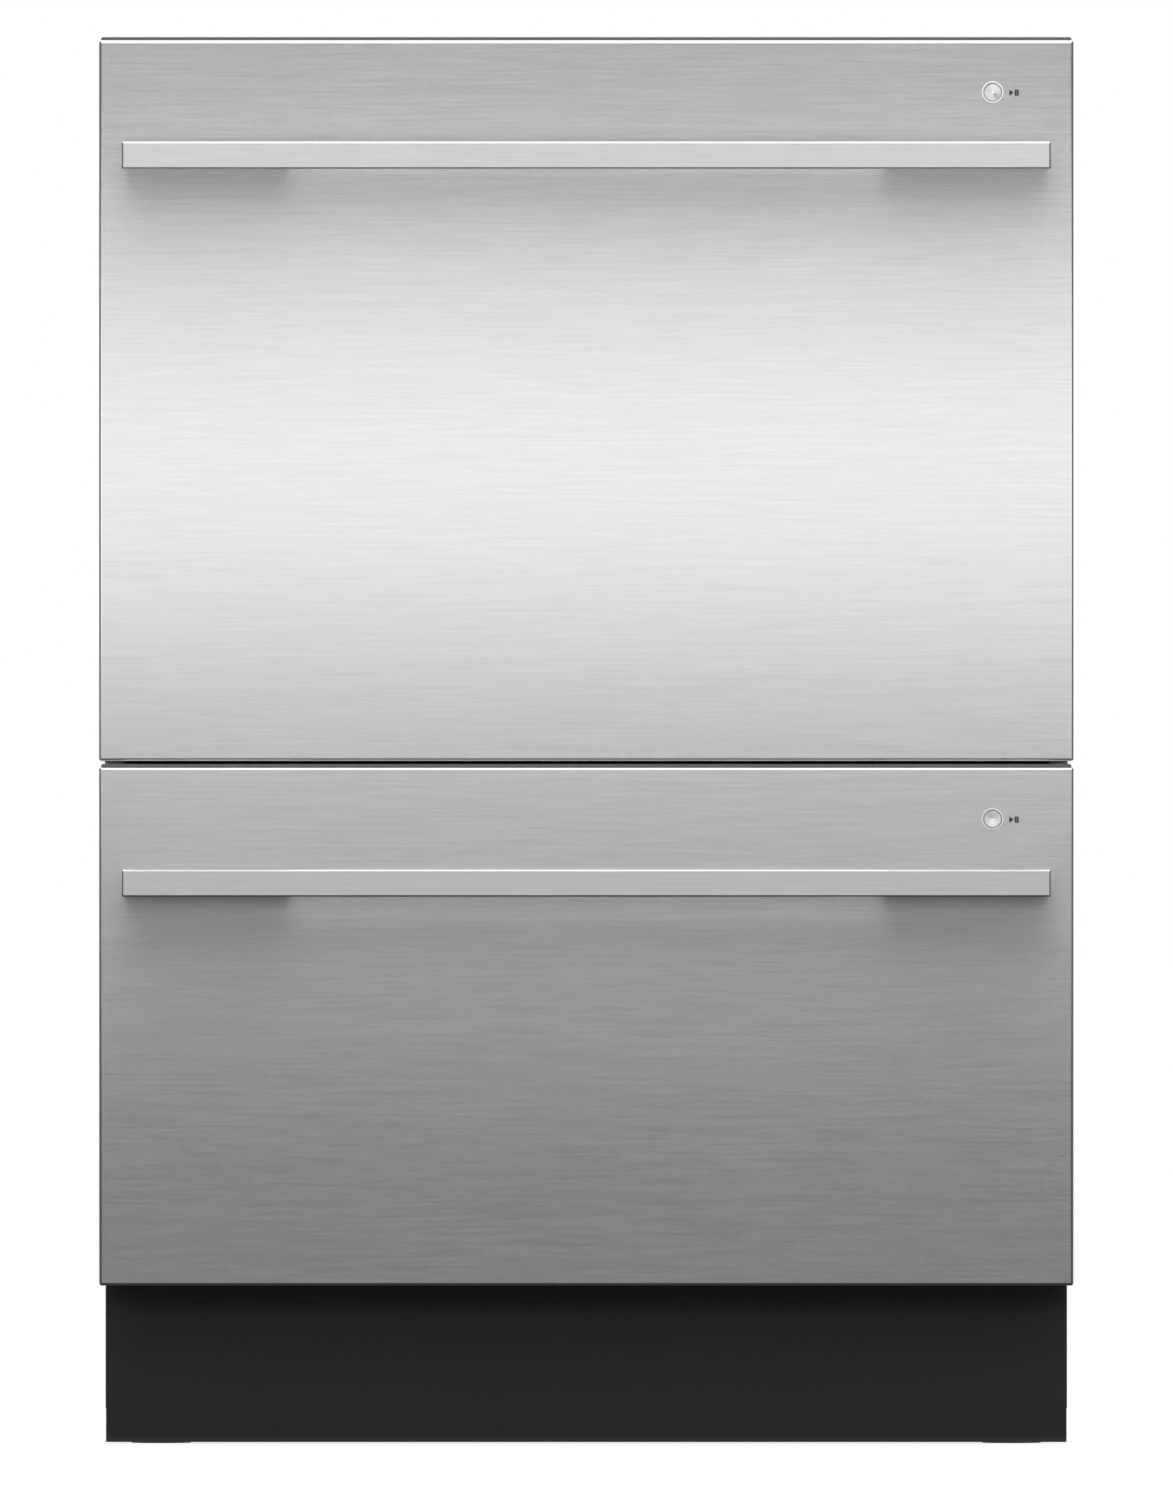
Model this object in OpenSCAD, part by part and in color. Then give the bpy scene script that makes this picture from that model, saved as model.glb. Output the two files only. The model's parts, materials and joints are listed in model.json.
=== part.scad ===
// Double dishwasher drawer: two tubs on telescopic runners in one steel cabinet.
// The drawer fronts face -Y, +Z is up and the floor is z = 0. All sizes are in millimetres.

/* [Cabinet] */
// Depth of the steel cabinet behind the fronts
body_depth = 553; // [545:1:590]
// Height of the cabinet's underside above the floor
base_z = 22; // [20:0.5:28]
// Thickness of the cabinet's sheet steel
sheet_t = 1.2; // [0.8:0.1:1.6]
// Width of the folded flanges
flange_w = 14; // [10:1:18]
// Set-back of the toe kick from the cabinet's front edge
kick_setback = 30; // [20:1:40]
// Clearance between the toe kick and the floor
kick_lift = 1; // [1:0.5:6]
// Radius of a levelling foot's pad
foot_r = 20; // [16:1:24]
// Radius of a levelling foot's stem
foot_stem_r = 5; // [4:0.5:6]
// Height that the feet can add
foot_travel = 60; // [40:1:60]

/* [Fronts] */
// Width of the drawer fronts
front_w = 599; // [590:1:640]
// Thickness of a drawer front
front_t = 18.5; // [17:0.5:24]
// Overhang of a front past the cabinet on each side
side_reveal = 3.5; // [2:0.5:5]
// Gap between a closed front and the cabinet
front_gap = 1.5; // [1:0.5:3]
// Height of the lower front's bottom edge
plinth_h = 97.8; // [94:0.2:120]
// Height of the lower front
lower_front_h = 318.8; // [312:0.2:360]
// Height of the upper front
upper_front_h = 443.2; // [400:0.2:480]
// Step between the two fronts, which shows the lower control strip
front_split = 3.5; // [2.8:0.1:6]
// Thickness of the front's steel skin
skin_t = 1; // [0.8:0.1:1.2]
// Bend radius of the skin's edges
skin_r = 2; // [1.5:0.1:3]
// Height of the control strip on a front's top edge
strip_h = 1.8; // [1.2:0.1:2.4]

/* [Handles] */
// Distance of a handle's ends from the front's edges
handle_inset = 14.5; // [10:0.5:60]
// Height of the handle bar
handle_h = 16.6; // [12:0.2:22]
// Thickness of the handle bar
handle_t = 10; // [6:0.5:14]
// Distance from the front's face to the handle's face
handle_out = 42; // [34:1:55]
// Distance from the front's top edge to the handle's top
handle_drop = 63; // [50:0.1:90]
// Width of each handle post
handle_post_w = 101; // [30:1:140]
// Height of each handle post
handle_post_h = 12; // [8:0.5:12]
// Chamfer along the handle bar's edges
handle_bevel = 0.9; // [0.5:0.1:2]

/* [Start buttons] */
// Distance of the button's axis from the front's right edge
button_inset = 49.8; // [30:0.1:90]
// Distance of the button's axis below the front's top edge
button_drop = 32; // [24:0.5:42]
// Radius of the button
button_r = 5.25; // [4:0.05:7]
// Width of the ring round the button
button_ring_w = 1.4; // [1:0.1:2.5]
// Travel of the button
button_travel = 1.2; // [0.8:0.1:2]

/* [Tubs] */
// Wall thickness of a tub
tub_wall = 3; // [2.5:0.1:4]
// Corner radius inside a tub
tub_corner_r = 42; // [30:1:60]
// Radius between a tub's floor and walls
tub_floor_r = 24; // [15:1:30]
// Lean of a tub's walls from rim to floor, on each side
tub_draft = 10; // [4:1:12]
// Height from a tub's rim to the top of its front
rim_drop = 33; // [32:0.5:40]
// Thickness of a tub's rim
rim_t = 3; // [2.5:0.1:5]
// Width of a tub's rim outside its walls
rim_w = 7; // [6:0.5:8]
// Radius of the sump in a tub's floor
sump_r = 95; // [80:1:105]
// Depth of the sump
sump_depth = 18; // [10:1:20]
// Distance from a tub's front wall to its front
tub_stand_off = 15; // [14:0.5:20]
// Distance from a tub's back wall to the cabinet's back
tub_back_gap = 45; // [40:1:56]

/* [Runners] */
// Clearance between the runners' ends and the cabinet's back
runner_end_gap = 27.5; // [20:0.5:45]
// Height of the runner's cabinet member
runner_h = 46; // [40:1:50]
// Depth of the runner from the cabinet wall to the drawer
runner_t = 12.8; // [12:0.1:14]
// Thickness of the runner's steel
runner_steel = 1.4; // [1:0.1:1.6]
// Height of the runner's axis above a tub's floor
runner_rise = 40; // [36:1:60]
// Travel of a drawer
drawer_travel = 545; // [500:1:545]

/* [Lids] */
// Height of a raised lid's seal above a tub's rim
lid_lift = 12.3; // [8:0.1:13]
// Height of a lid's seal
seal_h = 4; // [3:0.5:5]
// Thickness of a lid's plate
lid_t = 3; // [2:0.5:4]
// Height of a lid with its ribs
lid_h = 11; // [9:0.5:11]
// Radius of a lid's guide rods
lid_rod_r = 4; // [3:0.5:5]

/* [Wash system] */
// Height of the wash pump below a tub's sump
pump_h = 45; // [35:1:46]
// Radius of the wash pump's flange
pump_r = 90; // [75:1:93]
// Clearance between the spray arm's tip and the tub's walls
spray_gap = 22.25; // [20:0.25:50]
// Radius of the post that the spray arm turns on
spray_post_r = 8; // [6:0.5:10]
// Radius of the filter plate
filter_r = 125; // [115:1:150]
// Number of slots in the filter plate
filter_slots = 24; // [12:2:36]

/* [Racks] */
// Clearance between a rack and the tub's side walls
rack_side_gap = 14; // [13:0.5:24]
// Clearance between a rack and the tub's front and back walls
rack_end_gap = 16.25; // [14:0.25:24]
// Radius of the rack's wires
wire_r = 2; // [1.5:0.1:2.4]
// Radius of the tines
tine_r = 1.6; // [1.2:0.1:2]
// Height of a rack's floor above the tub's floor
rack_rise = 58; // [54:1:64]
// Height of the lower rack's walls
lower_rack_h = 118; // [100:1:120]
// Height of the upper rack's walls
upper_rack_h = 170; // [120:1:220]
// Distance between tines
tine_step = 26; // [22:1:27]
// Number of tines in a row
tine_count = 12; // [6:1:12]
// Height of the tines
tine_h = 66; // [50:1:70]
// Reach of the cup shelf over the rack
cup_shelf_reach = 86; // [60:1:88]
// Height of a cup shelf above its rack's middle wire
cup_rise = 3; // [0:0.5:4]
// Width of the cutlery basket
basket_w = 82; // [60:1:84]
// Length of the cutlery basket
basket_l = 208; // [150:1:220]
// Height of the cutlery basket's walls
basket_h = 108; // [80:1:110]

/* [Dispensers] */
// Width of a dispenser
dispenser_w = 196; // [192:1:220]
// Height of a dispenser
dispenser_h = 84; // [70:1:90]
// Width of the detergent cup
cup_w = 54; // [40:1:56]
// Radius of the rinse-aid cap
rinse_cap_r = 19; // [14:0.5:22]

/* [Hidden] */
$fn = 48;
LOWER = 0;
UPPER = 1;

// Colours
steel = [0.72, 0.72, 0.72];
handle_steel = [0.80, 0.80, 0.80];
galvanised = [0.60, 0.62, 0.63];
black = [0.10, 0.10, 0.10];
tub_grey = [0.78, 0.79, 0.80];
wire_grey = [0.52, 0.54, 0.56];
pump_grey = [0.30, 0.31, 0.33];
white = [0.90, 0.90, 0.90];
rubber = [0.16, 0.16, 0.17];

// Clearances
run_gap = 0.05;       // round parts that turn or slide in a bore
slide_gap = 0.3;      // flat parts that pass each other
hole_gap = 0.1;       // screws and studs in their holes
bind = 0.3;           // bite of one welded wire into another
eps = 0.01;           // overshoot of a cut past a face

// Cabinet, from front to back and from side to side
body_w = front_w - 2*side_reveal;
screw_head_h = 2;
total_depth = handle_out + front_t + front_gap + body_depth + screw_head_h;
back_y = total_depth/2 - screw_head_h;
body_y = back_y - body_depth;
front_back_y = body_y - front_gap;
front_y = front_back_y - front_t;
handle_y = front_y - handle_out;
wall_x = body_w/2 - sheet_t;

// Heights of the fronts, the shelf and the cabinet's top
lower_top = plinth_h + lower_front_h;
upper_bottom = lower_top + front_split;
upper_top = upper_bottom + upper_front_h;
shelf_top = lower_top + strip_h;
shelf_gap = 5;        // from the shelf to the upper wash pump
plinth_gap = 6.2;     // from the lower front's bottom edge up to the lower wash pump
body_top = upper_top - 1.3;
function front_z0(d) = d == UPPER ? upper_bottom : plinth_h;
function front_z1(d) = d == UPPER ? upper_top : lower_top;
function rim_z(d) = front_z1(d) - rim_drop;
function pump_z(d) = d == UPPER ? shelf_top + shelf_gap : plinth_h + plinth_gap;
function sump_z(d) = pump_z(d) + pump_h;
function floor_z(d) = sump_z(d) + tub_wall + sump_depth;
function runner_z(d) = floor_z(d) + runner_rise;
function rack_z(d) = floor_z(d) + rack_rise;

// Toe kick and feet
kick_y = body_y + kick_setback;
kick_top = plinth_h + 2;
kick_w = body_w - 0.7;
kick_t = 2;
foot_x = body_w/2 - 34;
foot_y = [kick_y + 2*foot_r, back_y - 52];
foot_pad_h = 8;
foot_hex_h = 6;
foot_boss_h = 22;
foot_top = base_z + sheet_t + foot_boss_h + foot_travel - 10;

// Runners
ledge_x = wall_x - runner_t;
runner_y = body_y + 5.5;
runner_l = back_y - runner_end_gap - runner_y;
rail_flange = runner_t - 0.4;
middle_h = runner_h - 2*runner_steel - 6.4;
inner_h = middle_h - 2*runner_steel - 6.4;
pad_l = 36;           // length of a bearing pad
pad_end = 8;          // from a pad to the end of the member it rides in

// Tub plan, at the rim and at the floor
rim_x = ledge_x - rim_w;
tub_x = rim_x - rim_w;
tub_y0 = front_back_y + tub_stand_off;
tub_y1 = back_y - tub_back_gap;
tub_mid = (tub_y0 + tub_y1)/2;
tub_d = tub_y1 - tub_y0;

// Lids
lid_x = rim_x - 1;
lid_y0 = body_y + 3;
lid_y1 = tub_y1 + rim_w - 1;
lid_mid = (lid_y0 + lid_y1)/2;
lid_ear_x = wall_x - 3.8;
rod_x = wall_x - 9.3;
rod_l = 50;           // reach of a rod below the rim
actuator_drop = 12;   // from the rim down to an actuator's top
actuator_h = 64;
actuator_w = 44;

// Racks
rack_w = 2*(tub_x - tub_wall - tub_draft - rack_side_gap);
rack_d = tub_d - 2*(tub_wall + tub_draft + rack_end_gap);
rack_y0 = tub_mid - rack_d/2;
rack_corner = 20;
floor_wires = 8;
cross_wires = 7;
function wire_at(i, n, span) = -span/2 + span*(i + 1)/(n + 1);
inner_wire_r = 0.9*wire_r;             // wires that end on a rack's loops
deck_z = 2*inner_wire_r - bind;        // axis height of the wires along Y over those along X
deck_top = deck_z + inner_wire_r;
pivot_z = deck_top + 1.2 + wire_r;
tine_y0 = tub_mid - (tine_count - 1)*tine_step/2;
tine_rows = [wire_at(1, cross_wires, rack_w), wire_at(5, cross_wires, rack_w)];
fold_row = 10;
cup_pivot_x = -rack_w/2 + 11;
cup_fingers = 9;
cup_clip_y = wire_at(6, floor_wires, rack_d);
cup_step = cup_clip_y/(cup_fingers/2 - 1);     // a clip sits midway between two fingers
cup_shelf_l = (cup_fingers - 1)*cup_step + 24;
leg_x = rack_w/2 - 36;
leg_y = wire_at(7, floor_wires, rack_d);
fold_clip_y = leg_y;
clip_w = 8;
function rack_h(d) = d == UPPER ? upper_rack_h : lower_rack_h;
function cup_z(d) = rack_z(d) + rack_h(d)/2 + cup_rise;
basket_x = rack_w/2 - 3*wire_r - basket_w/2;
basket_y = rack_y0 + 18 + basket_l/2;
basket_wall = 2;
basket_grip = 26;

// Dispensers
pad_y = tub_y0 + tub_wall + 8;         // plane of the mounting pad on the tub's front wall
disp_x = -10;
disp_flange = 2.5;
disp_gap = slide_gap;
door_t = 3;
cup_x = disp_x - 2;
door_w = cup_w + 8;
rinse_x = disp_x + dispenser_w/2 - rinse_cap_r - 10;
function disp_z(d) = rim_z(d) - 34 - dispenser_h/2;

// ---------------------------------------------------------------- shapes

// Extrudes a profile drawn in X and Z along Y.
module along_y(y0, y1) {
    translate([0, y1, 0]) rotate([90, 0, 0]) linear_extrude(y1 - y0) children();
}

// Extrudes a profile drawn in Y and Z along X.
module along_x(x0, x1) {
    translate([x0, 0, 0]) rotate([90, 0, 90]) linear_extrude(x1 - x0) children();
}

// Rectangle with round corners, centred.
module rounded_rect(w, d, r) {
    square([w - 2*r, d], center = true);
    square([w, d - 2*r], center = true);
    for (sx = [-1, 1], sy = [-1, 1])
        translate([sx*(w/2 - r), sy*(d/2 - r)]) circle(r);
}

// Box from one corner to the opposite one.
module box(lo, hi) {
    translate(lo) cube(hi - lo);
}

// Rod from point a along one axis: "x", "y" or "z".
module rod(a, l, r, axis) {
    turn = axis == "x" ? [0, 90, 0] : axis == "y" ? [-90, 0, 0] : [0, 0, 0];
    translate(a) rotate(turn) cylinder(r = r, h = l);
}

// Both sides of the object.
module both_sides() {
    children();
    mirror([1, 0, 0]) children();
}

// ---------------------------------------------------------------- cabinet

mount_y = [body_y + 30, back_y - 45];
mount_z = [plinth_h + 62, body_top - 60];
mount_hole_r = 2.5;
screw_r = 2;
screw_head_r = 4;
screw_end = 60;       // from a sheet's end to its first and last screws
screw_y = [for (i = [0:3]) body_y + screw_end + i*(body_depth - 2*screw_end)/3];
screw_z = [for (i = [0:3]) kick_top + screw_end + i*(body_top - kick_top - 2*screw_end)/3];
screw_in = flange_w/2 + sheet_t;

// Web, top, bottom, front and back flanges of the right side, notched for the toe kick.
module side_panel() {
    color(galvanised) difference() {
        union() {
            box([wall_x, body_y, base_z], [body_w/2, back_y - sheet_t, body_top - sheet_t]);
            box([wall_x - flange_w, body_y, body_top - 2*sheet_t],
                [body_w/2, back_y - sheet_t, body_top - sheet_t]);
            box([wall_x - flange_w, body_y, base_z], [body_w/2, back_y - sheet_t, base_z + sheet_t]);
            box([wall_x - 10, body_y, kick_top], [body_w/2, body_y + sheet_t, body_top - sheet_t]);
            box([wall_x - flange_w, back_y - 2*sheet_t, kick_top],
                [body_w/2, back_y - sheet_t, body_top - sheet_t]);
        }
        box([wall_x - flange_w - 1, body_y - 1, base_z - 1],
            [body_w/2 + 1, kick_y + kick_t + slide_gap, kick_top + slide_gap]);
        for (d = [LOWER, UPPER])
            box([wall_x - 11, body_y - 1, runner_z(d) - runner_h/2 - 3],
                [wall_x, body_y + sheet_t + eps, runner_z(d) + runner_h/2 + 3]);
        for (y = mount_y, z = mount_z)
            rod([wall_x - 1, y, z], sheet_t + 2, mount_hole_r, "x");
        for (y = screw_y)
            rod([body_w/2 - screw_in, y, body_top - 2*sheet_t - 1], 3, screw_r + hole_gap, "z");
        for (z = screw_z)
            rod([body_w/2 - screw_in, back_y - 2*sheet_t - 1, z], 3, screw_r + hole_gap, "y");
    }
}

// Back sheet with a shallow pressing behind each drawer.
module cabinet_back() {
    press_w = body_w - 130;
    press_at = [[kick_top + 50, shelf_top - 40], [shelf_top + 40, body_top - 50]];
    press_depth = 4;
    color(galvanised) difference() {
        union() {
            box([-body_w/2, back_y - sheet_t, kick_top], [body_w/2, back_y, body_top - sheet_t]);
            for (p = press_at) along_y(back_y - press_depth - sheet_t, back_y)
                translate([0, (p[0] + p[1])/2])
                    rounded_rect(press_w + 2*sheet_t, p[1] - p[0] + 2*sheet_t, 22 + sheet_t);
        }
        for (p = press_at) along_y(back_y - press_depth, back_y + 1)
            translate([0, (p[0] + p[1])/2]) rounded_rect(press_w, p[1] - p[0], 22);
        for (z = screw_z) both_sides()
            rod([body_w/2 - screw_in, back_y - sheet_t - 1, z], 3, screw_r + hole_gap, "y");
    }
}

module cabinet_top() {
    front_drop = 20;
    color(galvanised) difference() {
        union() {
            box([-body_w/2, body_y, body_top - sheet_t], [body_w/2, back_y, body_top]);
            box([-(wall_x - flange_w - slide_gap), body_y, body_top - front_drop],
                [wall_x - flange_w - slide_gap, body_y + sheet_t, body_top]);
        }
        for (y = screw_y) both_sides()
            rod([body_w/2 - screw_in, y, body_top - sheet_t - 1], 3, screw_r + hole_gap, "z");
        // cable slots in the front rail
        for (x = [-180, 0, 180])
            translate([x, body_y - 1, body_top - front_drop/2 - 1]) rotate([-90, 0, 0])
                linear_extrude(sheet_t + 2) rounded_rect(40, 8, 3.9);
    }
}

// Shelf between the two drawers: a plate with a front rail and folded sides.
module middle_shelf() {
    rail = 22;
    x = wall_x;
    color(galvanised) difference() {
        union() {
            box([-x, body_y + sheet_t, shelf_top - sheet_t], [x, back_y - 2*sheet_t, shelf_top]);
            box([-(wall_x - 10 - slide_gap), body_y, shelf_top - rail],
                [wall_x - 10 - slide_gap, body_y + sheet_t, shelf_top]);
            both_sides() box([x - sheet_t, body_y + 12, shelf_top - flange_w],
                             [x, back_y - 2*sheet_t, shelf_top]);
        }
        // drip openings along the back
        for (x = [-210:60:210])
            translate([x, back_y - 60, shelf_top - 2]) linear_extrude(4) rounded_rect(36, 12, 5.9);
    }
}

// Moulded tray that carries the feet, the supply box and the inlet valve.
module base_tray() {
    tray_z = base_z + sheet_t;
    tray_x = wall_x - 1;
    tray_y0 = kick_y + kick_t + 8;
    tray_y1 = back_y - 2*sheet_t;
    tray_h = 34;
    t = 3;
    color(black) difference() {
        union() {
            difference() {
                box([-tray_x, tray_y0, tray_z], [tray_x, tray_y1, tray_z + tray_h]);
                box([-tray_x + t, tray_y0 + t, tray_z + t], [tray_x - t, tray_y1 - t, tray_z + tray_h + 1]);
                // lowered back wall, for the hoses
                box([60, tray_y1 - t - 1, tray_z + 14], [240, tray_y1 + 1, tray_z + tray_h + 1]);
                box([-210, tray_y1 - t - 1, tray_z + 14], [-50, tray_y1 + 1, tray_z + tray_h + 1]);
            }
            for (x = [-1, 1]*foot_x, y = foot_y) rod([x, y, tray_z], foot_boss_h, 14, "z");
            for (x = [-150:100:150]) box([x - 1, tray_y0 + 1, tray_z], [x + 1, 90, tray_z + 16]);
            for (y = [-120, -20]) box([-tray_x + 1, y - 1, tray_z], [tray_x - 1, y + 1, tray_z + 12]);
        }
        for (x = [-1, 1]*foot_x, y = foot_y)
            rod([x, y, tray_z - 1], foot_boss_h + 2, foot_stem_r + run_gap, "z");
    }
}

module toe_kick() {
    fold = 10;
    fold_x = wall_x - slide_gap;
    color(black) {
        box([-kick_w/2, kick_y, kick_lift], [kick_w/2, kick_y + kick_t, kick_top]);
        for (z = [kick_lift, kick_top - kick_t])
            box([-fold_x, kick_y, z], [fold_x, kick_y + fold, z + kick_t]);
        // brackets that reach back to the base tray
        for (x = [-180, 180])
            box([x - 20, kick_y + 1, base_z + 4], [x + 20, kick_y + kick_t + 8, base_z + 30]);
    }
}

module foot(sx, i) {
    color(rubber) translate([sx*foot_x, foot_y[i], 0]) {
        rotate_extrude() polygon([
            [0, 0], [foot_r - 2, 0], [foot_r, 2], [foot_r, 4], [foot_r - 6, foot_pad_h], [0, foot_pad_h]]);
        cylinder(r = 1.9*foot_stem_r, h = foot_pad_h + foot_hex_h, $fn = 6);
        cylinder(r = foot_stem_r, h = foot_top);
    }
}

// Pan-head screws along the top's and the back's edges.
module cabinet_screws() {
    shank = 6;
    color(steel) both_sides() {
        for (y = screw_y) translate([body_w/2 - screw_in, y, body_top]) {
            rotate([180, 0, 0]) cylinder(r = screw_r, h = shank);
            pan_head(screw_head_h);
        }
        for (z = screw_z) translate([body_w/2 - screw_in, back_y, z]) rotate([-90, 0, 0]) {
            rotate([180, 0, 0]) cylinder(r = screw_r, h = shank);
            pan_head(screw_head_h);
        }
    }
}

module pan_head(h) {
    difference() {
        cylinder(r1 = screw_head_r, r2 = screw_head_r - 1, h = h);
        translate([0, 0, h - 1]) for (a = [0, 90]) rotate(a)
            translate([-2, -0.4, 0]) cube([4, 0.8, 2]);
    }
}

// ---------------------------------------------------------------- runners

// Channel seen from the front, x going from the cabinet wall towards the drawer.
module channel(h, x0, x1, t) {
    translate([x0, -h/2]) square([t, h]);
    for (s = [0, 1]) mirror([0, s]) translate([x0, h/2 - t]) square([x1 - x0, t]);
}

// Places a runner profile on the right cabinet wall of drawer d.
module on_wall(d) {
    translate([wall_x, runner_z(d)]) mirror([1, 0]) children();
}

// The cabinet member: a channel with lips.
module rail_profile() {
    channel(runner_h, 0, rail_flange, runner_steel);
    for (s = [0, 1]) mirror([0, s])
        translate([rail_flange - runner_steel, runner_h/2 - runner_steel - 2.4]) square([runner_steel, 3]);
}

module runner_rails() {
    color(steel) for (d = [LOWER, UPPER]) both_sides()
        along_y(runner_y, runner_y + runner_l) on_wall(d) rail_profile();
}

// The middle member, with bearing pads that ride in the rail and on the drawer's member.
module runner_middle(d) {
    z_pad = middle_h/2;
    pad_t = 3.2 - run_gap;
    web_x = runner_steel + 0.8;
    color(steel) both_sides() {
        along_y(runner_y, runner_y + runner_l) on_wall(d)
            channel(middle_h, web_x, runner_t - 1.2, runner_steel);
        for (y = [runner_y + drawer_travel/2 + pad_end, runner_y + runner_l - pad_l - pad_end])
            along_y(y, y + pad_l) on_wall(d) for (s = [0, 1]) mirror([0, s])
                translate([web_x + runner_steel, z_pad - eps]) square([6.4, pad_t + eps]);
        for (y = [runner_y + pad_end, runner_y + runner_l - drawer_travel/2 - pad_l - pad_end])
            along_y(y, y + pad_l) on_wall(d) for (s = [0, 1]) mirror([0, s])
                translate([web_x + runner_steel + 1, z_pad - runner_steel - pad_t])
                    square([5.4, pad_t + eps]);
    }
}

// The drawer's member, open towards the cabinet wall.
module runner_inner(d) {
    color(steel) both_sides()
        along_y(runner_y, runner_y + runner_l) on_wall(d)
            translate([runner_t, 0]) mirror([1, 0])
                channel(inner_h, 0, runner_t - 3*runner_steel - 0.2, runner_steel);
}

// ---------------------------------------------------------------- lids

module lid_actuators() {
    color(pump_grey) for (d = [LOWER, UPPER]) both_sides() translate([0, lid_mid, rim_z(d)])
        difference() {
            union() {
                translate([wall_x - 15.5, -actuator_w/2, -actuator_drop - actuator_h])
                    cube([15.5, actuator_w, actuator_h]);
                // motor below the gear housing
                rod([wall_x - 8.5, 0, -actuator_drop - actuator_h - 34], 35, 7.5, "z");
                rod([wall_x - 8.5, 0, -actuator_drop - actuator_h - 38], 5, 3, "z");
            }
            rod([rod_x, 0, -actuator_drop - actuator_h + 6], actuator_h, lid_rod_r + run_gap, "z");
            // finger grooves on the housing's face
            for (y = [-16, -11, 11, 16])
                translate([wall_x - 16.5, y - 1, -actuator_drop - actuator_h + 8])
                    cube([2, 2, actuator_h - 16]);
        }
}

module lid_plan(inset) {
    translate([0, lid_mid])
        rounded_rect(2*(lid_x - inset), lid_y1 - lid_y0 - 2*inset, tub_corner_r - inset);
}

// Lid plate with a raised border, ribs, and an ear and rod for each actuator.
module lid(d) {
    z = rim_z(d) + lid_lift + seal_h;
    color(tub_grey) {
        translate([0, 0, z]) linear_extrude(lid_t) lid_plan(0);
        translate([0, 0, z]) linear_extrude(lid_h) difference() {
            lid_plan(0);
            lid_plan(3);
        }
        for (y = [-150:100:150])
            box([-lid_x + 2, lid_mid + y - 1.25, z], [lid_x - 2, lid_mid + y + 1.25, z + lid_h - 2]);
        for (x = [-160:80:160])
            box([x - 1.25, lid_y0 + 2, z], [x + 1.25, lid_y1 - 2, z + lid_h - 2]);
        both_sides() {
            box([lid_x - 6, lid_mid - 16, z], [lid_ear_x, lid_mid + 16, z + 8]);
            rod([rod_x, lid_mid, rim_z(d) - rod_l], z + 8 - rim_z(d) + rod_l, lid_rod_r, "z");
        }
    }
}

module lid_seal(d) {
    z = rim_z(d) + lid_lift;
    color(rubber) translate([0, 0, z]) {
        translate([0, 0, seal_h/2]) linear_extrude(seal_h/2) difference() {
            lid_plan(0.5);
            lid_plan(8.5);
        }
        linear_extrude(seal_h/2) difference() {
            lid_plan(2.5);
            lid_plan(6.5);
        }
    }
}

// ---------------------------------------------------------------- drawer fronts

// Rectangle whose two corners on the low side of the first axis are round.
module round_front(l, h, r) {
    translate([r, 0]) square([l - r, h]);
    translate([0, r]) square([l, h - 2*r]);
    for (y = [r, h - r]) translate([r, y]) circle(r);
}

// A front's outer shape with round front edges and corners, drawn as a solid.
module front_form(d, inset, back) {
    w = front_w - 2*inset;
    h = front_z1(d) - front_z0(d) - 2*inset;
    l = back - front_y - inset;
    r = skin_r - inset;
    z = front_z0(d) + inset;
    intersection() {
        along_y(front_y + inset, back) translate([0, z + h/2]) rounded_rect(w, h, r);
        along_x(-w/2, w/2) translate([front_y + inset, z]) round_front(l, h, r);
        translate([0, 0, z]) linear_extrude(h) mirror([1, -1, 0])
            translate([front_y + inset, -w/2]) round_front(l, w, r);
    }
}

button_x = front_w/2 - button_inset;
function button_z(d) = front_z1(d) - button_drop;
ring_r = button_r + 0.07;
ring_body_r = button_r + button_ring_w - 0.5;
ring_out = 0.6;
ring_back = 6;
collar_t = 1;
button_dish = 0.12;
stem_l = 2.9;
button_l = ring_back + 0.5 + collar_t + stem_l;

module front_skin(d) {
    color(steel) difference() {
        front_form(d, 0, front_back_y);
        front_form(d, skin_t, front_back_y + 1);
        rod([button_x, front_y - 1, button_z(d)], skin_t + 2, ring_body_r + hole_gap, "y");
    }
}

// Filled inner door behind the skin, with a pocket for the button.
module door_liner(d) {
    inset = skin_r + 0.1;
    groove = 2;
    color(tub_grey) difference() {
        box([-front_w/2 + inset, front_y + skin_t, front_z0(d) + inset],
            [front_w/2 - inset, front_back_y, front_z1(d) - inset]);
        rod([button_x, front_y, button_z(d)], button_l + button_travel + 2, ring_body_r + 1.6, "y");
        // shallow frame pressed into the back
        along_y(front_back_y - groove, front_back_y + 1)
            translate([0, (front_z0(d) + front_z1(d))/2]) difference() {
                rounded_rect(front_w - 16, front_z1(d) - front_z0(d) - 14, 12);
                rounded_rect(front_w - 22, front_z1(d) - front_z0(d) - 20, 9);
            }
    }
}

module control_strip(d) {
    inset = 1.25;
    w = front_w - 2*inset;
    color(black) translate([0, (front_y + front_back_y)/2, front_z1(d)])
        intersection() {
            linear_extrude(strip_h) rounded_rect(w, front_t - 5, 2);
            along_y(-front_t, front_t) polygon([
                [-w/2, -1], [w/2, -1], [w/2, strip_h*0.4], [w/2 - 0.8, strip_h],
                [-w/2 + 0.8, strip_h], [-w/2, strip_h*0.4]]);
        }
}

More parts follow.
